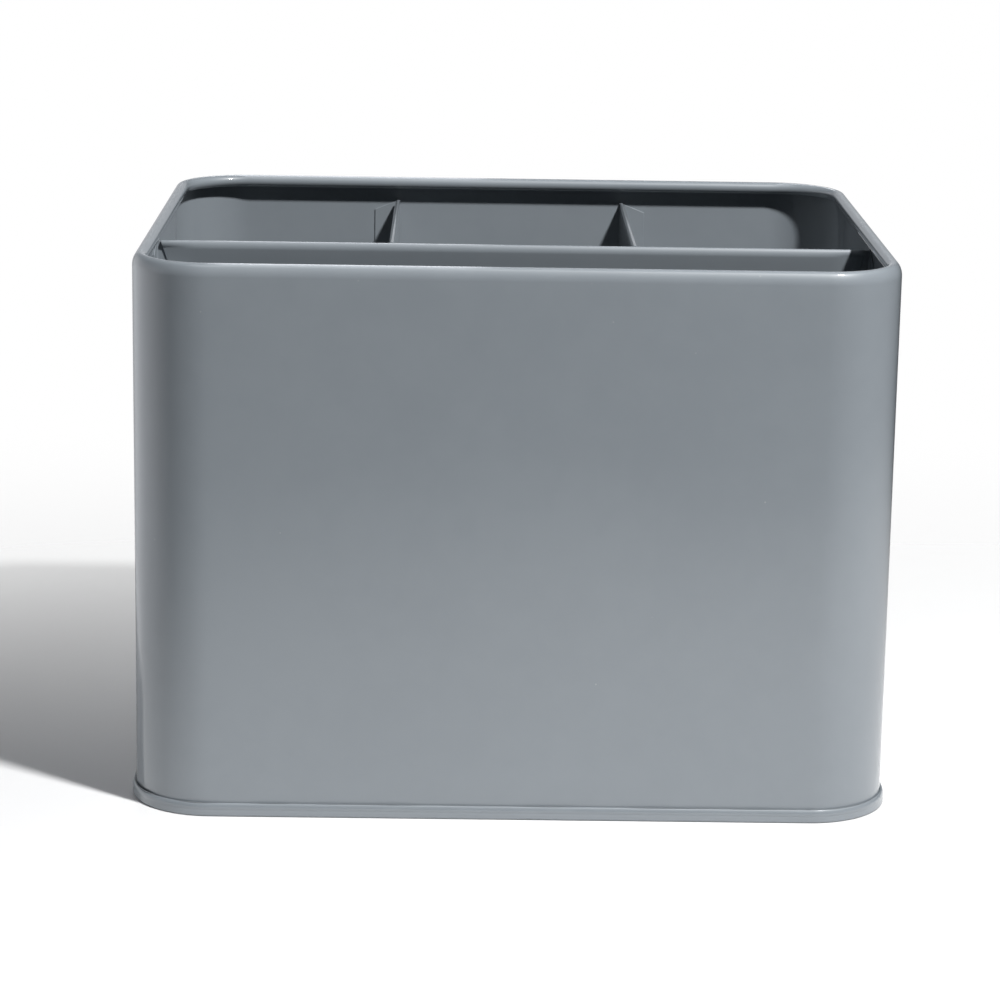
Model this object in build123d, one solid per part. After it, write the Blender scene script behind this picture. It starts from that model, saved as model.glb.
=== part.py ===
from build123d import *
import os

# Cutlery holder of lacquered sheet steel: a wrapped body, a seamed-on base and three dividers.
# Sizes are in millimetres and degrees. +Z is up, +X to the right, +Y to the back.
# The origin is on the surface that the holder stands on, under the middle of the body.

# Body
BODY_WIDTH = 180.0
BODY_DEPTH = 150.0
BODY_HEIGHT = 132.0
CORNER_RADIUS = 19.0
SHEET = 0.3
LACQUER_GAP = 0.02

# Rolled top edge, curled inwards from the wall
ROLL_RADIUS = 1.4
ROLL_TURN = 295.0

# Double seam between body and base
SEAM_HEIGHT = 3.2
HOOK_CLEARANCE = 0.25
BASE_RECESS = 3.5
BASE_BEND_RADIUS = 0.5

# Lapped side seam inside the right wall, just behind the long divider
LAP_WIDTH = 5.0
LAP_TO_DIVIDER = 0.3
LAP_CLEARANCE = 0.4
ROLL_SLOT = 0.3

# Dividers
DIVIDER_DROP = 6.3
LONG_DIVIDER_PLACE = -1.0
REAR_CELLS = 3
TAB_WIDTH = 6.8
TAB_SLOPE_DROP = 2.6
TAB_BEND_RADIUS = 0.4
HEM_GAP = 0.5
HEM_DEPTH = 6.0
HEM_TO_BEND = 0.7
HEM_CORNER = 2.0

# Layers of the seam, counted outwards from the wall's outer face
LAYER = SHEET + LACQUER_GAP
BASE_HOOK_FACE = LACQUER_GAP
BODY_HOOK_FACE = BASE_HOOK_FACE + LAYER
SEAM_WALL_FACE = BODY_HOOK_FACE + LAYER
CHUCK_WALL_FACE = -SHEET - LAYER
FOLD_RADIUS = BODY_HOOK_FACE / 2
FOLD_OUTER = FOLD_RADIUS + SHEET

# Places that follow from the sizes above
INNER_X = BODY_WIDTH / 2 - SHEET
INNER_Y = BODY_DEPTH / 2 - SHEET
ROLL_CENTRE = BODY_HEIGHT - ROLL_RADIUS
BODY_FOLD_CENTRE = LAYER + FOLD_OUTER
FLOOR_TOP = BASE_RECESS + SHEET
DIVIDER_FOOT = FLOOR_TOP + LACQUER_GAP
DIVIDER_TOP = BODY_HEIGHT - DIVIDER_DROP
HEM_OUTER = HEM_GAP / 2 + SHEET
WEB_TOP = DIVIDER_TOP - HEM_OUTER
CELL_PITCH = BODY_WIDTH / REAR_CELLS
LAP_FRONT = LONG_DIVIDER_PLACE + LAP_TO_DIVIDER


def upright(face, low, high):
    """A straight upright stretch of sheet in section, outwards from the given face."""
    return Pos(face + SHEET / 2, (low + high) / 2) * Rectangle(SHEET, high - low)


def level(start, end, low):
    """A straight level stretch of sheet in section, on the given height."""
    return Pos((start + end) / 2, low + SHEET / 2) * Rectangle(end - start, SHEET)


def bend(centre, inner_radius, start, turn):
    """A bend of the sheet in section."""
    inner = CenterArc(centre, inner_radius, start, turn)
    outer = CenterArc(centre, inner_radius + SHEET, start, turn)
    return make_face([inner, outer, Line(inner @ 0, outer @ 0), Line(inner @ 1, outer @ 1)])


def ring(section):
    """Carries a section round the body. X in the section is outwards from the wall's outer face."""
    section_plane = Plane(origin=(0, 0, 0), x_dir=(1, 0, 0), z_dir=(0, -1, 0))
    upright_section = section_plane * section
    corner = revolve(Pos(CORNER_RADIUS, 0, 0) * upright_section, axis=Axis.Z, revolution_arc=90)
    whole = Part()
    for quarter in range(4):
        along, across = (BODY_DEPTH, BODY_WIDTH) if quarter % 2 == 0 else (BODY_WIDTH, BODY_DEPTH)
        half_run = along / 2 - CORNER_RADIUS
        wall = extrude(Pos(across / 2, half_run, 0) * upright_section, amount=2 * half_run)
        turn = Rot(0, 0, 90 * quarter)
        whole += turn * wall
        whole += turn * Pos(across / 2 - CORNER_RADIUS, half_run, 0) * corner
    return whole


def body_section():
    """Body hook, fold, wall and rolled edge, all one sheet."""
    hook_top = SEAM_HEIGHT - SHEET - HOOK_CLEARANCE
    return (
        upright(BODY_HOOK_FACE, BODY_FOLD_CENTRE, hook_top)
        + bend((FOLD_RADIUS, BODY_FOLD_CENTRE), FOLD_RADIUS, 180, 180)
        + upright(-SHEET, BODY_FOLD_CENTRE, ROLL_CENTRE)
        + bend((-ROLL_RADIUS, ROLL_CENTRE), ROLL_RADIUS - SHEET, 0, ROLL_TURN)
    )


def base_section():
    """Base hook, outer wall of the seam, its flat foot, the inner wall and the bend to the panel."""
    hook_foot = BODY_FOLD_CENTRE - FOLD_RADIUS + HOOK_CLEARANCE
    hook_bend = SEAM_HEIGHT - FOLD_OUTER
    foot_start = CHUCK_WALL_FACE + SHEET + FOLD_RADIUS
    foot_end = SEAM_WALL_FACE - FOLD_RADIUS
    panel_edge = CHUCK_WALL_FACE - BASE_BEND_RADIUS
    return (
        upright(BASE_HOOK_FACE, hook_foot, hook_bend)
        + bend((SEAM_WALL_FACE - FOLD_RADIUS, hook_bend), FOLD_RADIUS, 0, 180)
        + upright(SEAM_WALL_FACE, FOLD_OUTER, hook_bend)
        + bend((foot_end, FOLD_OUTER), FOLD_RADIUS, 270, 90)
        + level(foot_start, foot_end, 0)
        + bend((foot_start, FOLD_OUTER), FOLD_RADIUS, 180, 90)
        + upright(CHUCK_WALL_FACE, FOLD_OUTER, BASE_RECESS - BASE_BEND_RADIUS)
        + bend((panel_edge, BASE_RECESS - BASE_BEND_RADIUS), BASE_BEND_RADIUS, 0, 90)
    )


def body_wrap():
    """The wrapped wall with its lapped end, and the slot where the two rolled ends meet."""
    lap_foot = FLOOR_TOP + LAP_CLEARANCE
    lap_top = BODY_HEIGHT - 2 * ROLL_RADIUS - LAP_CLEARANCE
    lap = Pos(INNER_X - SHEET / 2, LAP_FRONT + LAP_WIDTH / 2, (lap_foot + lap_top) / 2) * Box(
        SHEET, LAP_WIDTH, lap_top - lap_foot
    )
    slot_height = BODY_HEIGHT - lap_top
    slot = Pos(INNER_X - ROLL_RADIUS, LAP_FRONT, lap_top + slot_height / 2) * Box(
        2 * ROLL_RADIUS, ROLL_SLOT, slot_height
    )
    return ring(body_section()) + lap - slot


def base_plate():
    """The recessed bottom panel with the part of the seam that grips the body."""
    inset = -CHUCK_WALL_FACE + BASE_BEND_RADIUS
    outline = RectangleRounded(
        BODY_WIDTH - 2 * inset, BODY_DEPTH - 2 * inset, CORNER_RADIUS - inset
    )
    panel = Pos(0, 0, BASE_RECESS) * extrude(outline, amount=SHEET)
    return ring(base_section()) + panel


def divider(length):
    """A divider standing along +X from the origin, with both tabs and the hem turned to +Y."""
    corner = TAB_BEND_RADIUS + SHEET
    plan = (
        Pos(length / 2, SHEET / 2) * Rectangle(length - 2 * corner, SHEET)
        + bend((corner, corner), TAB_BEND_RADIUS, 180, 90)
        + bend((length - corner, corner), TAB_BEND_RADIUS, 270, 90)
        + upright(0, corner, TAB_WIDTH)
        + upright(length - SHEET, corner, TAB_WIDTH)
    )
    sheet = Pos(0, 0, DIVIDER_FOOT) * extrude(plan, amount=WEB_TOP - DIVIDER_FOOT)
    slope = Polyline(
        (SHEET, WEB_TOP), (TAB_WIDTH, WEB_TOP), (TAB_WIDTH, WEB_TOP - TAB_SLOPE_DROP), close=True
    )
    sheet -= extrude(Plane.YZ * make_face(slope), amount=length)
    hem_start = corner + HEM_TO_BEND
    hem_foot = WEB_TOP - HEM_DEPTH
    flap_face = SHEET + HEM_GAP
    fold = extrude(
        Plane.YZ * bend((SHEET + HEM_GAP / 2, WEB_TOP), HEM_GAP / 2, 0, 180),
        amount=length - 2 * hem_start,
    )
    flap = Polyline(
        (hem_start, WEB_TOP),
        (length - hem_start, WEB_TOP),
        (length - hem_start - HEM_CORNER, hem_foot),
        (hem_start + HEM_CORNER, hem_foot),
        close=True,
    )
    flap_plane = Plane(origin=(0, flap_face, 0), x_dir=(1, 0, 0), z_dir=(0, -1, 0))
    return sheet + Pos(hem_start, 0, 0) * fold + extrude(flap_plane * make_face(flap), amount=-SHEET)


def long_divider():
    """From side wall to side wall, with its tabs turned forwards."""
    reach = INNER_X - LACQUER_GAP
    return Pos(reach, LONG_DIVIDER_PLACE, 0) * Rot(0, 0, 180) * divider(2 * reach)


def left_cross_divider():
    """From the long divider to the back wall, with its tabs turned left."""
    front = LONG_DIVIDER_PLACE + LACQUER_GAP
    length = INNER_Y - LACQUER_GAP - front
    return Pos(-CELL_PITCH / 2, front, 0) * Rot(0, 0, 90) * divider(length)


def right_cross_divider():
    """The left cross divider's mirror image."""
    return mirror(left_cross_divider(), about=Plane.YZ)


PIECES = {
    "body_wrap": body_wrap,
    "base_plate": base_plate,
    "long_divider": long_divider,
    "left_cross_divider": left_cross_divider,
    "right_cross_divider": right_cross_divider,
}

os.makedirs("parts", exist_ok=True)
for name, make in PIECES.items():
    piece = make()
    print(name, "solids", len(piece.solids()), "volume", round(piece.volume, 1))
    export_step(piece, f"parts/{name}.step")
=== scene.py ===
import math
import bpy
import bmesh
from mathutils import Euler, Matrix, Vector, noise


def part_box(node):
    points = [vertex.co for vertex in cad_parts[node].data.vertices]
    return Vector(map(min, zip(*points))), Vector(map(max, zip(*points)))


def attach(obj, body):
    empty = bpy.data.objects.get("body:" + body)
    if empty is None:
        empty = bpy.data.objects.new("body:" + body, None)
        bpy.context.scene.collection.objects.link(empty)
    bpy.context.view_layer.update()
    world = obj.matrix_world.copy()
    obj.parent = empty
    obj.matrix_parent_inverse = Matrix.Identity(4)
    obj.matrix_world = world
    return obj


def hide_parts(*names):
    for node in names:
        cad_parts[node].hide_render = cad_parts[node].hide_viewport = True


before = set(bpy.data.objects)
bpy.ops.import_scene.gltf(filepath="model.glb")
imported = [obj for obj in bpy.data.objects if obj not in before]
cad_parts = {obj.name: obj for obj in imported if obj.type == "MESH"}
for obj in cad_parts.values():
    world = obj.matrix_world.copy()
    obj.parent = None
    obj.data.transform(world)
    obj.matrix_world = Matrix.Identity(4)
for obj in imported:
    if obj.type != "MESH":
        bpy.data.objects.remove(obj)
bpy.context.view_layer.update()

# Cutlery holder of lacquered sheet steel. Lengths are in metres, +Z is up, and the front looks along -Y.

MM = 0.001
TINY = 0.001 * MM

# The sheet, and the layer of lacquer where two sheets meet
SHEET = 0.3 * MM
HALF_SHEET = SHEET / 2
LACQUER_GAP = 0.02 * MM
LAYER = SHEET + LACQUER_GAP
EDGE_ROUNDING = 0.09 * MM
EDGE_SEGMENTS = 3
EDGE_ANGLE = 50.0

# Double seam between body and base, outwards from the wall's outer face
SEAM_HEIGHT = 3.2 * MM
HOOK_CLEARANCE = 0.25 * MM
FOLD_RADIUS = (LAYER + LACQUER_GAP) / 2
FOLD_OUTER = FOLD_RADIUS + SHEET
FOLD_MIDDLE = FOLD_RADIUS + HALF_SHEET
SEAM_PROUD = 3 * LAYER
BASE_BEND_RADIUS = 0.5 * MM
SEAM_HOOK_BEND = 0.10 * MM
SEAM_BROW = 0.31 * MM
SEAM_BROW_TURN = 55.0
SEAM_BEAD = 1.2 * MM
SEAM_BEAD_TURN = 47.0
SEAM_GROOVE = 0.35 * MM
SEAM_GROOVE_TURN = 22.0
SEAM_BELLY = 0.6 * MM
SEAM_UNEVEN = 0.05 * MM
SEAM_UNEVEN_LENGTH = 9.0 * MM
SEAM_RIPPLE_FINENESS = 3.1
SEAM_RIPPLE_SHARE = 0.5
SEAM_RIPPLE_PLACE = Vector((7, 3, 1))
SEAM_STEP = 2.0 * MM

# The body's wall, read from the frame
wrap_low, wrap_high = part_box("body_wrap")
base_low, base_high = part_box("base_plate")
HALF_WIDTH = base_high.x - SEAM_PROUD
HALF_DEPTH = base_high.y - SEAM_PROUD
RIM_TOP = wrap_high.z
CORNER_RADIUS = 19.0 * MM
PANEL_MIDDLE = base_high.z - HALF_SHEET

# Rolled top edge: a slack shoulder outside, a tighter crest, and the curl inside
SHOULDER_RADIUS = 4.4 * MM
SHOULDER_TURN = 33.0
CREST_RADIUS = 1.35 * MM
CREST_RISE = CREST_RADIUS * (1 - math.sin(math.radians(SHOULDER_TURN)))
SHOULDER_RISE = SHOULDER_RADIUS * math.sin(math.radians(SHOULDER_TURN))
CREST_FOOT = RIM_TOP - HALF_SHEET - CREST_RISE
SHOULDER_FOOT = CREST_FOOT - SHOULDER_RISE
ROLL_RADIUS = 1.6 * MM
ROLL_MIDDLE = ROLL_RADIUS - HALF_SHEET
ROLL_TURN = 295.0

# The curl's last stretch ahead of the side seam, which has sprung open and shows as a lip
CURL_FULL = 180.0
LIP_DROP = 0.35 * MM
LIP_RADIUS = 0.24 * MM
LIP_TURN = -80.0
LIP_REACH = 0.06 * MM
LIP_SIDE_SHARE = 0.96
LIP_FADE_SHARE = 0.5

# How far the same three stretches turn where the curl is closed
CLOSED_TURNS = (35.0, 40.0, ROLL_TURN - CURL_FULL - 35.0 - 40.0)

# Side seam inside the right wall, and the slot where the two rolled ends meet
SEAM_SIDE_PLACE = -0.7 * MM
ROLL_SLOT = 0.3 * MM
LAP_WIDTH = 5.0 * MM
LAP_CLEARANCE = 0.4 * MM

# Dividers
TAB_WIDTH = 6.8 * MM
TAB_RISE = 0.35 * MM
TAB_SLOPE_DROP = 2.6 * MM
TAB_BEND_RADIUS = 0.4 * MM
TAB_CORNER = TAB_BEND_RADIUS + SHEET
TAB_MIDDLE = TAB_BEND_RADIUS + HALF_SHEET
HEM_FOLD = 0.4 * MM
HEM_CREST = 142.0
HEM_SHOULDER = 2.2 * MM
HEM_LEAN = 10.0
PINCH_REACH = 5.0 * MM
PINCH_DROP = 1.2 * MM
PINCH_FULL = 0.9
HEM_DEPTH = 6.0 * MM
HEM_TO_BEND = 0.7 * MM
HEM_START = TAB_CORNER + HEM_TO_BEND
HEM_CORNER = 2.0 * MM

# How far the walls of real sheet swell inwards, and over which length
WAVE_DEPTH = 0.10 * MM
WAVE_LENGTH = 70.0 * MM

# How finely bends, flats and the panel are divided
FLAT_STEP = 4.0 * MM
CORNER_STEPS = 30
PANEL_RINGS = 12
PANEL_HEART = 0.5
PANEL_RING_STEP = 5 * MM


class BentLine:
    """A line of straight runs and bends, in the plane of a section or of a plan."""

    def __init__(self, across, up, heading):
        self.places = [Vector((across, up))]
        self.headings = [math.radians(heading)]
        self.lengths = [0.0]

    def go(self, length, turn=0.0, steps=1):
        """A stretch of that length, turning by so many degrees in all, to the left if above 0."""
        step_turn = math.radians(turn) / steps
        chord = length / steps
        if step_turn:
            chord *= math.sin(step_turn / 2) / (step_turn / 2)
        for _ in range(steps):
            heading = self.headings[-1] + step_turn / 2
            self.places.append(self.places[-1] + chord * Vector((math.cos(heading), math.sin(heading))))
            self.headings.append(self.headings[-1] + step_turn)
            self.lengths.append(self.lengths[-1] + length / steps)
        return self

    def bend(self, radius, turn, steps=8):
        """A round bend of that radius."""
        return self.go(radius * abs(math.radians(turn)), turn, steps)

    def flat(self, length, step=FLAT_STEP):
        """A straight run in steps of about that length."""
        return self.go(length, steps=max(1, round(length / step)))


class SheetMesh:
    """A mesh of a sheet's middle surface. Its UV map is the flat blank, in metres."""

    def __init__(self):
        self.work = bmesh.new()
        self.blank = self.work.loops.layers.uv.new("blank")

    def grid(self, rows, along, across, closed=False, closing_length=0.0, left_out=None):
        """Rows of points joined by faces. left_out(row, column) says which faces are missing."""
        rows = [[self.work.verts.new(point) for point in row] for row in rows]
        count = len(rows) if closed else len(rows) - 1
        for i in range(count):
            j = (i + 1) % len(rows)
            end = along[i + 1] if i + 1 < len(rows) else along[i] + closing_length
            for k in range(len(rows[i]) - 1):
                if left_out and left_out(i, k):
                    continue
                corners = (rows[i][k], rows[j][k], rows[j][k + 1], rows[i][k + 1])
                face = self.work.faces.new(corners)
                face.smooth = True
                near, far = across[k], across[k + 1]
                spots = ((along[i], near), (end, near), (end, far), (along[i], far))
                for loop, spot in zip(face.loops, spots):
                    loop[self.blank].uv = spot
        return rows

    def finish(self, name, finish, node):
        """The steel piece that stands for a CAD node, with its thickness and rounded cut edges."""
        bmesh.ops.remove_doubles(self.work, verts=self.work.verts, dist=TINY)
        loose = [v for v in self.work.verts if not v.link_faces]
        bmesh.ops.delete(self.work, geom=loose, context="VERTS")
        mesh = bpy.data.meshes.new(name)
        self.work.to_mesh(mesh)
        self.work.free()
        mesh.materials.append(finish)
        piece = bpy.data.objects.new(name, mesh)
        bpy.context.collection.objects.link(piece)
        thickness = piece.modifiers.new("sheet", "SOLIDIFY")
        thickness.thickness = SHEET
        thickness.offset = 0.0
        thickness.use_even_offset = True
        rounding = piece.modifiers.new("rounded cut edges", "BEVEL")
        rounding.width = EDGE_ROUNDING
        rounding.segments = EDGE_SEGMENTS
        rounding.limit_method = "ANGLE"
        rounding.angle_limit = math.radians(EDGE_ANGLE)
        rounding.harden_normals = True
        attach(piece, "root")
        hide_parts(node)
        return piece


def wall_outline(start, gap, step=FLAT_STEP):
    """The wall's outer face in plan, from `start` on the right side backwards and round, less a gap."""
    line = BentLine(HALF_WIDTH, start + gap / 2, 90)
    side = 2 * (HALF_DEPTH - CORNER_RADIUS)
    front = 2 * (HALF_WIDTH - CORNER_RADIUS)
    line.flat(side / 2 - start - gap / 2, step)
    for run in (front, side, front):
        line.bend(CORNER_RADIUS, 90, CORNER_STEPS)
        line.flat(run, step)
    line.bend(CORNER_RADIUS, 90, CORNER_STEPS)
    line.flat(side / 2 + start - gap / 2, step)
    return line


def stations(outline):
    """Each place of an outline in plan, with its outward direction."""
    for place, heading in zip(outline.places, outline.headings):
        yield place, Vector((math.sin(heading), -math.cos(heading)))


def stand(place, outward, reach, height):
    """The point at that reach outwards from a place on the outline."""
    return Vector((place.x + outward.x * reach, place.y + outward.y * reach, height))


def soft_noise(point):
    """Smooth noise from 0 to 1."""
    return noise.noise(point) * 0.5 + 0.5


def wall_wave(point):
    """How far the wall of real sheet lies inside the true plane, none at the seam and the roll."""
    swell = soft_noise(point / WAVE_LENGTH)
    height = (point.z - SEAM_HEIGHT) / (SHOULDER_FOOT - SEAM_HEIGHT)
    calm = math.sin(math.pi * min(1.0, max(0.0, height)))
    return WAVE_DEPTH * swell * calm


def body_section(opened):
    """The body's sheet in section: hook, fold, wall and roll. The roll's end springs open from 0 to 1."""
    hook_top = SEAM_HEIGHT - SHEET - HOOK_CLEARANCE
    fold_centre = LAYER + FOLD_OUTER
    hook_middle = LAYER + LACQUER_GAP + HALF_SHEET
    line = BentLine(hook_middle, hook_top, -90)
    line.go(hook_top - fold_centre)
    line.bend(FOLD_MIDDLE, -180)
    line.flat(SHOULDER_FOOT - fold_centre)
    line.bend(SHOULDER_RADIUS, SHOULDER_TURN, steps=8)
    line.bend(CREST_RADIUS, 90 - SHOULDER_TURN, steps=9)
    line.bend(ROLL_MIDDLE, CURL_FULL - 90, steps=12)
    lip_bend = LIP_RADIUS * math.radians(-LIP_TURN)
    lip = ((LIP_DROP, 0.0), (lip_bend, LIP_TURN), (LIP_REACH, 0.0))
    for (length, turn), share in zip(lip, CLOSED_TURNS):
        closed = ROLL_MIDDLE * math.radians(share)
        line.go(closed + opened * (length - closed), share + opened * (turn - share), steps=6)
    return line


def opened_curl(place, along, total):
    """1 on the right side ahead of the side seam, fading out in the front right corner."""
    left = total - along
    side = HALF_DEPTH - CORNER_RADIUS + SEAM_SIDE_PLACE
    corner = CORNER_RADIUS * math.pi / 2
    past = left - side * LIP_SIDE_SHARE
    return min(1.0, max(0.0, 1.0 - past / (corner * LIP_FADE_SHARE)))


def lap(sheet):
    """Adds the lapped end, which lies against the inside of the right wall."""
    foot = base_high.z + LAP_CLEARANCE
    top = RIM_TOP - 2 * ROLL_RADIUS - LAP_CLEARANCE
    plan = BentLine(HALF_WIDTH - SHEET - HALF_SHEET, SEAM_SIDE_PLACE, 90).go(LAP_WIDTH, steps=2)
    rise = BentLine(0, foot, 90).flat(top - foot)
    rightwards = Vector((1, 0))
    rows = []
    for place in plan.places:
        row = []
        for spot in rise.places:
            wave = wall_wave(Vector((place.x, place.y, spot.y)))
            row.append(stand(place, rightwards, -wave, spot.y))
        rows.append(row)
    sheet.grid(rows, plan.lengths, rise.lengths)


def body_wrap(finish):
    """The wrapped wall, its rolled edge and the lap inside the right wall."""
    sheet = SheetMesh()
    outline = wall_outline(SEAM_SIDE_PLACE, ROLL_SLOT)
    rows = []
    total = outline.lengths[-1]
    for (place, outward), along in zip(stations(outline), outline.lengths):
        section = body_section(opened_curl(place, along, total))
        row = []
        for spot in section.places:
            point = stand(place, outward, spot.x, spot.y)
            row.append(point - wall_wave(point) * outward.to_3d())
        rows.append(row)
    closed = body_section(0)
    curl_start = next(k for k, spot in enumerate(closed.places) if spot.y > CREST_FOOT - TINY)
    last = len(rows) - 1
    sheet.grid(
        rows,
        outline.lengths,
        closed.lengths,
        closed=True,
        closing_length=ROLL_SLOT,
        left_out=lambda row, column: row == last and column >= curl_start,
    )
    lap(sheet)
    return sheet.finish("body_wrap_sheet", finish, "body_wrap")


def base_section():
    """The base's sheet in section, from its hook over the seam and up to the panel."""
    hook_foot = LAYER + FOLD_OUTER - FOLD_RADIUS + HOOK_CLEARANCE
    line = BentLine(LACQUER_GAP + HALF_SHEET, hook_foot, 90)
    line.go(SEAM_HEIGHT - HALF_SHEET - SEAM_HOOK_BEND - hook_foot)
    line.bend(SEAM_HOOK_BEND, -90, steps=5)
    line.bend(SEAM_BROW, -SEAM_BROW_TURN, steps=8)
    line.go(SEAM_BEAD, -SEAM_BEAD_TURN, steps=6)
    line.go(SEAM_GROOVE, SEAM_GROOVE_TURN, steps=4)
    line.go(SEAM_BELLY, SEAM_BROW_TURN + SEAM_BEAD_TURN - SEAM_GROOVE_TURN - 90, steps=4)
    line.go(line.places[-1].y - FOLD_OUTER)
    foot = line.places[-1].x - FOLD_MIDDLE - (-LAYER - HALF_SHEET + FOLD_MIDDLE)
    line.bend(FOLD_MIDDLE, -90)
    line.go(foot)
    line.bend(FOLD_MIDDLE, -90)
    panel_bend = BASE_BEND_RADIUS + HALF_SHEET
    line.go(PANEL_MIDDLE - panel_bend - line.places[-1].y)
    line.bend(panel_bend, 90)
    return line


def seam_dent(point, outward, outside):
    """A point of the seam, pressed in a little where it shows, as the closing rollers leave it."""
    if not outside or point.z < FOLD_OUTER:
        return point
    place = point / SEAM_UNEVEN_LENGTH
    swell = soft_noise(place)
    ripple = soft_noise(place * SEAM_RIPPLE_FINENESS + SEAM_RIPPLE_PLACE)
    depth = SEAM_UNEVEN * (swell + SEAM_RIPPLE_SHARE * ripple)
    height = (point.z - FOLD_OUTER) / (SEAM_HEIGHT - FOLD_OUTER)
    return point - depth * outward.to_3d() - Vector((0, 0, depth * height))


def panel_spoke(edge):
    """The panel's points from its edge inwards, as far as the face left for its middle."""
    spoke = []
    for k in range(PANEL_RINGS + 1):
        inwards = k / (PANEL_RINGS + PANEL_HEART)
        spoke.append(Vector((edge.x * (1 - inwards), edge.y * (1 - inwards), edge.z)))
    return spoke


def base_plate(finish):
    """The base: its part of the double seam, and the panel set up inside it."""
    sheet = SheetMesh()
    outline = wall_outline(0, 0, SEAM_STEP)
    outline.places.pop()
    outline.headings.pop()
    section = base_section()
    brow_height = SEAM_HEIGHT - HALF_SHEET - TINY
    brow = next(k for k, spot in enumerate(section.places) if spot.y > brow_height)
    outside = [k >= brow and spot.x > 0 for k, spot in enumerate(section.places)]
    rows = []
    for place, outward in stations(outline):
        bare = [stand(place, outward, spot.x, spot.y) for spot in section.places]
        rows.append([seam_dent(point, outward, shown) for point, shown in zip(bare, outside)])
    step = outline.lengths[-1] - outline.lengths[-2]
    sheet.grid(rows, outline.lengths, section.lengths, closed=True, closing_length=step)
    spokes = [panel_spoke(row[-1]) for row in rows]
    depths = [section.lengths[-1] + k * PANEL_RING_STEP for k in range(PANEL_RINGS + 1)]
    inner = sheet.grid(spokes, outline.lengths, depths, closed=True, closing_length=step)
    middle = sheet.work.faces.new([spoke[-1] for spoke in inner])
    middle.smooth = True
    return sheet.finish("base_plate_sheet", finish, "base_plate")


def hem_section(web_top):
    """The hem in section: over the top, round its shoulder, and down, leaning towards the web."""
    line = BentLine(HALF_SHEET, web_top, 90)
    line.bend(HEM_FOLD, -HEM_CREST, steps=10)
    line.bend(HEM_SHOULDER, HEM_CREST - 180 - HEM_LEAN, steps=10)
    drop = line.places[-1].y - (web_top - HEM_DEPTH)
    return line.go(drop / math.cos(math.radians(HEM_LEAN)), steps=3)


def flap_gap(across, web_top):
    """How far a point of the hem's flap can be pressed in until it lies on the web."""
    gap = max(0.0, across.x - HALF_SHEET - LAYER)
    drop = max(0.0, web_top - across.y)
    return gap * min(1.0, drop / PINCH_DROP)


def divider_plan(length):
    """A divider in plan from tab to tab, with the places between which its hem runs."""
    plan = BentLine(HALF_SHEET, TAB_WIDTH, -90)
    plan.go(TAB_WIDTH - TAB_CORNER, steps=3)
    plan.bend(TAB_MIDDLE, 90)
    plan.go(HEM_TO_BEND)
    first = len(plan.places) - 1
    plan.flat(length - 2 * HEM_START)
    last = len(plan.places) - 1
    plan.go(HEM_TO_BEND)
    plan.bend(TAB_MIDDLE, 90)
    plan.go(TAB_WIDTH - TAB_CORNER, steps=3)
    return plan, slice(first, last + 1)


def web_rows(plan, rises, length, foot, web_top):
    """The upright rows of the web and its tabs, whose tops slope down to their clipped corners."""
    rows = []
    for spot in plan.places:
        down = TAB_SLOPE_DROP * max(0.0, spot.y - SHEET) / (TAB_WIDTH - SHEET)
        if not HEM_START - TINY < spot.x < length - HEM_START + TINY:
            down -= TAB_RISE
        scale = (web_top - down - foot) / (web_top - foot)
        rows.append([Vector((spot.x, spot.y, foot + rise * scale)) for rise in rises.lengths])
    return rows


def hem_rows(places, fold, length, web_top):
    """The rows of the hem, with its corners clipped and its ends pinched."""
    middle = length / 2
    rows = []
    for spot in places:
        row = []
        from_end = min(spot.x, length - spot.x) - HEM_START
        pinched = PINCH_FULL * max(0.0, 1 - from_end / PINCH_REACH)
        for across in fold.places:
            clip = HEM_CORNER * max(0.0, web_top - across.y) / HEM_DEPTH
            squeeze = 1 - clip / (middle - HEM_START)
            outwards = across.x - pinched * flap_gap(across, web_top)
            row.append(Vector((middle + (spot.x - middle) * squeeze, outwards, across.y)))
        rows.append(row)
    return rows


def divider(name, finish, node, place, turn, mirrored=False):
    """A divider: a web with a tab bent forwards at each end, and a hem folded over at the top."""
    low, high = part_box(node)
    length = max(high.x - low.x, high.y - low.y)
    web_top = high.z - HEM_FOLD - HALF_SHEET
    plan, hemmed = divider_plan(length)
    rises = BentLine(0, low.z, 90).flat(web_top - low.z)
    fold = hem_section(web_top)
    sheet = SheetMesh()
    sheet.grid(web_rows(plan, rises, length, low.z, web_top), plan.lengths, rises.lengths)
    rolled = [rises.lengths[-1] + along for along in fold.lengths]
    sheet.grid(hem_rows(plan.places[hemmed], fold, length, web_top), plan.lengths[hemmed], rolled)
    for vertex in sheet.work.verts:
        if mirrored:
            vertex.co.y = -vertex.co.y
        vertex.co.rotate(Euler((0, 0, math.radians(turn))))
        vertex.co += Vector((place.x, place.y, 0))
    if mirrored:
        bmesh.ops.reverse_faces(sheet.work, faces=sheet.work.faces)
    return sheet.finish(name, finish, node)


def dividers(finish):
    """The three dividers, each in its CAD node's place."""
    low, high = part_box("long_divider")
    divider("long_divider_sheet", finish, "long_divider", Vector((high.x, high.y)), 180)
    low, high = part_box("left_cross_divider")
    divider("left_cross_divider_sheet", finish, "left_cross_divider", Vector((high.x, low.y)), 90)
    low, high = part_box("right_cross_divider")
    place = Vector((low.x, low.y))
    divider("right_cross_divider_sheet", finish, "right_cross_divider", place, 90, mirrored=True)


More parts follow.
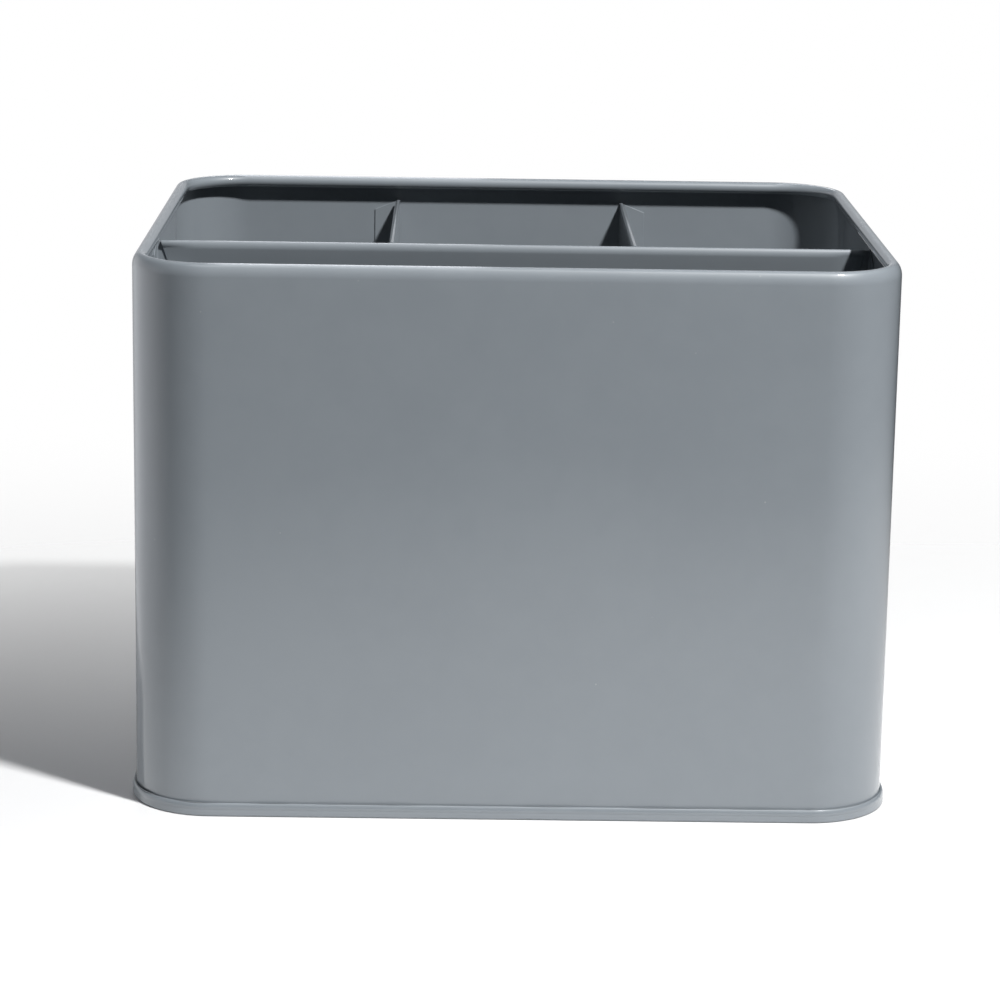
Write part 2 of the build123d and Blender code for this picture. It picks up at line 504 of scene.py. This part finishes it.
class Link:
    """One socket that a node gives out. An expression on links adds its Math nodes."""

    def __init__(self, tree, socket):
        self.tree = tree
        self.socket = socket

    def maths(self, operation, *values):
        node = self.tree.nodes.new("ShaderNodeMath")
        node.operation = operation
        for place, value in enumerate(values):
            plug(self.tree, node.inputs[place], value)
        return Link(self.tree, node.outputs[0])

    def __add__(self, other):
        return self.maths("ADD", self, other)

    def __sub__(self, other):
        return self.maths("SUBTRACT", self, other)

    def __rsub__(self, other):
        return self.maths("SUBTRACT", other, self)

    def __mul__(self, other):
        return self.maths("MULTIPLY", self, other)

    def __abs__(self):
        return self.maths("ABSOLUTE", self)

    __radd__ = __add__
    __rmul__ = __mul__


def plug(tree, socket, value):
    """Links a link to a socket, or sets the socket to a plain value."""
    if isinstance(value, Link):
        tree.links.new(value.socket, socket)
    else:
        socket.default_value = value


class Finish:
    """The nodes of a material, or of the surroundings."""

    def __init__(self, holder, output="OutputMaterial"):
        holder.use_nodes = True
        self.holder = holder
        self.tree = holder.node_tree
        self.tree.nodes.clear()
        self.output = self.tree.nodes.new("ShaderNode" + output)

    def node(self, kind, settings=None, sockets=None, out=0):
        """Adds a node, with its settings made first, then the values or links of its sockets."""
        node = self.tree.nodes.new("ShaderNode" + kind)
        for name, value in (settings or {}).items():
            setattr(node, name, value)
        for name, value in (sockets or {}).items():
            plug(self.tree, node.inputs[name], value)
        return Link(self.tree, node.outputs[out])

    def where(self):
        """The place on the object, in metres."""
        return self.node("TexCoord", out="Object")

    def cloud(self, where, size, detail=2.0, roughness=0.5):
        """Soft noise from 0 to 1 with patches of about that size."""
        sockets = {"Vector": where, "Scale": 1 / size, "Detail": detail, "Roughness": roughness}
        return self.node("TexNoise", sockets=sockets)

    def ramp(self, value, low, high):
        """0 up to low, 1 from high on, and smooth between."""
        settings = {"interpolation_type": "SMOOTHSTEP"}
        sockets = {"Value": value, "From Min": low, "From Max": high}
        return self.node("MapRange", settings, sockets)

    def blend(self, share, first, second):
        """A colour between two, by a share from 0 to 1."""
        node = self.tree.nodes.new("ShaderNodeMix")
        node.data_type = "RGBA"
        plug(self.tree, node.inputs["Factor"], share)
        plug(self.tree, node.inputs[6], first)
        plug(self.tree, node.inputs[7], second)
        return Link(self.tree, node.outputs[2])

    def close(self, surface):
        """Makes this the surface that shows."""
        plug(self.tree, self.output.inputs["Surface"], surface)
        return self.holder


# Colours of the lacquer, and of the dust and the worn spots on it
GREY = (0.230, 0.257, 0.282, 1.0)
GREY_LIGHT = (0.242, 0.270, 0.295, 1.0)
DUST = (0.55, 0.56, 0.57, 1.0)

# How large the uneven spots of the lacquer are, or how far apart
BROAD_SIZE = 45 * MM
PATCH_SIZE = 6 * MM
PEEL_SIZE = 1.6 * MM
NIB_SPACING = 9 * MM
SMUDGE_SIZE = 22 * MM

# From which value a spot begins to show, and from which it shows in full
NIB_RANGE = (0.03, 0.012)
TONE_RANGE = (0.3, 0.7)
WORN_RANGE = (0.60, 0.70)
UPWARD_RANGE = (0.75, 1.0)
DUST_RANGE = (0.35, 0.75)
SMUDGE_RANGE = (0.55, 0.75)

# How much each of them counts in the tone, in the paler spots and in the roughness
BROAD_IN_TONE = 0.6
PATCH_IN_TONE = 0.4
NIB_PALE = 0.3
WORN_PALE = 0.25
DUST_PALE = 0.07
ROUGH_PLAIN = 0.38
ROUGH_PATCH = 0.06
ROUGH_BROAD = 0.06
ROUGH_SMUDGE = 0.05
COAT_ROUGHNESS = 0.07
LACQUER_IOR = 1.5

# How high they stand
PEEL_HEIGHT = 0.003 * MM
PATCH_HEIGHT = 0.004 * MM
NIB_HEIGHT = 0.01 * MM


def grey_lacquer():
    """Stoved lacquer: glossy, with a fine orange peel, and a little dust in it."""
    finish = Finish(bpy.data.materials.new("grey_lacquer_coat"))
    where = finish.where()
    broad = finish.cloud(where, BROAD_SIZE, detail=2.0)
    patches = finish.cloud(where, PATCH_SIZE, detail=3.0)
    peel = finish.cloud(where, PEEL_SIZE, detail=1.0)
    nib_sockets = {"Vector": where, "Scale": 1 / NIB_SPACING}
    nib_field = finish.node("TexVoronoi", {"feature": "F1"}, nib_sockets, out="Distance")
    nibs = finish.ramp(nib_field, *NIB_RANGE)
    tone_share = finish.ramp(broad * BROAD_IN_TONE + patches * PATCH_IN_TONE, *TONE_RANGE)
    tone = finish.blend(tone_share, GREY, GREY_LIGHT)
    worn = finish.ramp(finish.node("NewGeometry", out="Pointiness"), *WORN_RANGE)
    facing = finish.node("NewGeometry", out="Normal")
    upward = finish.ramp(finish.node("SeparateXYZ", sockets={"Vector": facing}, out="Z"), *UPWARD_RANGE)
    dusty = upward * finish.ramp(patches, *DUST_RANGE) * DUST_PALE
    colour = finish.blend(nibs * NIB_PALE + worn * WORN_PALE + dusty, tone, DUST)
    smudge_field = finish.cloud(where, SMUDGE_SIZE, detail=4.0, roughness=0.6)
    smudges = finish.ramp(smudge_field, *SMUDGE_RANGE)
    roughness = ROUGH_PLAIN + ROUGH_PATCH * patches + ROUGH_BROAD * broad + ROUGH_SMUDGE * smudges
    height = peel * PEEL_HEIGHT + patches * PATCH_HEIGHT + nibs * NIB_HEIGHT
    bump = finish.node("Bump", sockets={"Strength": 1.0, "Distance": 1.0, "Height": height})
    sockets = {
        "Base Color": colour,
        "Roughness": roughness,
        "IOR": LACQUER_IOR,
        "Coat Weight": 1.0,
        "Coat Roughness": COAT_ROUGHNESS,
        "Coat IOR": LACQUER_IOR,
        "Normal": bump,
    }
    return finish.close(finish.node("BsdfPrincipled", sockets=sockets))


# The floor: its size, where it is whole and where it has faded, round a middle and backwards. The fade
# towards the back lightens the floor's shadow there: painted light.
FLOOR_WHITE = (0.80, 0.80, 0.80, 1.0)
FLOOR_SPREAD = 1.8
FLOOR_MIDDLE = Vector((0.08, 0.02, 0.0))
FLOOR_FULL = 0.20
FLOOR_GONE = 0.51
FLOOR_SHADOW_PALING_START = -0.105
FLOOR_SHADOW_PALING_END = 0.36
FLOOR_SIDES = 96
FLOOR_DROP = 0.02 * MM


def floor():
    """A plain white floor that fades into the white surroundings, and the more so towards the back, which
    pales its shadow there as painted light.
    """
    finish = Finish(bpy.data.materials.new("floor_white"))
    where = finish.where()
    distance = {"operation": "DISTANCE"}
    from_middle = finish.node("VectorMath", distance, {0: where, 1: FLOOR_MIDDLE}, out="Value")
    backwards = finish.node("SeparateXYZ", sockets={"Vector": where}, out="Y")
    # Painted light: the floor turns clearer towards the back, so the object's cast shadow on it grows
    # paler there
    shadow_paling = finish.ramp(backwards, FLOOR_SHADOW_PALING_START, FLOOR_SHADOW_PALING_END)
    fade = finish.ramp(from_middle, FLOOR_FULL, FLOOR_GONE)
    white = finish.node("BsdfDiffuse", sockets={"Color": FLOOR_WHITE})
    clear = finish.node("BsdfTransparent")
    gone = 1 - (1 - fade) * (1 - shadow_paling)
    surface = finish.node("MixShader", sockets={0: gone, 1: white, 2: clear})
    mesh = bpy.data.meshes.new("floor")
    work = bmesh.new()
    bmesh.ops.create_circle(work, cap_ends=True, radius=FLOOR_SPREAD / 2, segments=FLOOR_SIDES)
    work.to_mesh(mesh)
    work.free()
    mesh.materials.append(finish.close(surface))
    piece = bpy.data.objects.new("floor", mesh)
    piece.location = (0, 0, -FLOOR_DROP)
    bpy.context.collection.objects.link(piece)


# The key light, a small lamp
KEY_PLACE = Vector((0.383, -0.430, 0.935))
KEY_POWER = 60.0
KEY_RADIUS = 40 * MM

# The surroundings, and the height from which their low bright stretches fade out
SKY_TINT = (0.945, 0.965, 1.01, 1.0)
WHITE = (1.0, 1.0, 1.0, 1.0)
LOW_TOP = 0.50

# The low bright stretches: towards where, from which cosine to which, and how bright
BRIGHT_STRETCHES = (
    (Vector((-0.91, 0.41, 0.0)), 0.55, 0.97, 1.15),
    (Vector((-0.05, 1.0, 0.0)), 0.93, 0.995, 0.55),
    (Vector((0.98, -0.17, 0.0)), 0.45, 0.97, 0.12),
)

# Two bright surfaces higher up: a soft card over the holder, and a strip from it down behind
CARD_PLACE = Vector((-0.17, -0.30, 0.93))
CARD_RANGE = (0.94, 0.99)
CARD_BRIGHT = 1.2
STRIP_SIDE = -0.035
STRIP_SIDE_RANGE = (0.048, 0.036)
STRIP_HEIGHT_RANGE = (0.25, 0.40)
STRIP_BACK_RANGE = (-0.15, 0.05)
STRIP_BRIGHT = 3.5


def key_light():
    """A small lamp to the right, in front and above."""
    lamp = bpy.data.lights.new("key", "POINT")
    lamp.energy = KEY_POWER
    lamp.shadow_soft_size = KEY_RADIUS
    piece = bpy.data.objects.new("key", lamp)
    piece.location = KEY_PLACE
    bpy.context.collection.objects.link(piece)


def nearness(sky, way, towards):
    """The cosine of the angle between a way and a direction."""
    sockets = {0: way, 1: towards.normalized()}
    return sky.node("VectorMath", {"operation": "DOT_PRODUCT"}, sockets, out="Value")


def low_stretches(sky, way, upwards):
    """How bright the low stretches of the surroundings are."""
    low_down = sky.ramp(upwards, LOW_TOP, 0.0)
    flattened = {0: way, 1: (1, 1, 0)}
    level_way = sky.node("VectorMath", {"operation": "MULTIPLY"}, flattened, out="Vector")
    bearing = sky.node("VectorMath", {"operation": "NORMALIZE"}, {0: level_way}, out="Vector")
    strength = 0.0
    for towards, faint, full, brightness in BRIGHT_STRETCHES:
        lit = sky.ramp(nearness(sky, bearing, towards), faint, full)
        strength = strength + lit * low_down * brightness
    return strength


def card_and_strip(sky, way, upwards):
    """How bright the card and the strip higher up are."""
    card = sky.ramp(nearness(sky, way, CARD_PLACE), *CARD_RANGE) * CARD_BRIGHT
    sideways = sky.node("SeparateXYZ", sockets={"Vector": way}, out="X")
    backwards = sky.node("SeparateXYZ", sockets={"Vector": way}, out="Y")
    in_width = sky.ramp(abs(sideways - STRIP_SIDE), *STRIP_SIDE_RANGE)
    in_height = sky.ramp(upwards, *STRIP_HEIGHT_RANGE)
    in_length = sky.ramp(backwards, *STRIP_BACK_RANGE)
    return card + in_width * in_height * in_length * STRIP_BRIGHT


def surroundings():
    """Dim surroundings with bright stretches, which the camera alone sees as white."""
    world = bpy.data.worlds.new("surroundings")
    bpy.context.scene.world = world
    sky = Finish(world, "OutputWorld")
    way = sky.node("TexCoord", out="Generated")
    upwards = sky.node("SeparateXYZ", sockets={"Vector": way}, out="Z")
    strength = low_stretches(sky, way, upwards) + card_and_strip(sky, way, upwards)
    dim = sky.node("Background", sockets={"Color": SKY_TINT, "Strength": strength})
    white = sky.node("Background", sockets={"Color": WHITE})
    seen = sky.node("LightPath", out="Is Camera Ray")
    sky.close(sky.node("MixShader", sockets={0: seen, 1: dim, 2: white}))


# The camera, with its lens and its film in mm
CAMERA_PLACE = Vector((-0.0138, -0.8025, 0.2542))
CAMERA_FILM = 36.0
CAMERA_LENS = 116.3
CAMERA_SHIFT_Y = -0.05
CAMERA_LOOK = Vector((0.0136, 0.9753, -0.2207))
CAMERA_RIGHT = Vector((0.9998, -0.0103, 0.0160))
CAMERA_NEAR = 0.01
CAMERA_FAR = 20.0


def camera():
    """The photograph's viewpoint: in front, a little left of the middle, and looking down."""
    lens = bpy.data.cameras.new("camera")
    lens.sensor_width = CAMERA_FILM
    lens.lens = CAMERA_LENS
    lens.shift_y = CAMERA_SHIFT_Y
    lens.clip_start = CAMERA_NEAR
    lens.clip_end = CAMERA_FAR
    piece = bpy.data.objects.new("camera", lens)
    back = -CAMERA_LOOK.normalized()
    right = CAMERA_RIGHT.normalized()
    above = back.cross(right)
    turn = piece.matrix_world.to_3x3()
    turn.col[0], turn.col[1], turn.col[2] = right, above, back
    piece.matrix_world = turn.to_4x4()
    piece.location = CAMERA_PLACE
    bpy.context.collection.objects.link(piece)
    bpy.context.scene.camera = piece


bpy.context.scene.view_settings.view_transform = "Standard"
coat = grey_lacquer()
body_wrap(coat)
base_plate(coat)
dividers(coat)
floor()
key_light()
surroundings()
camera()
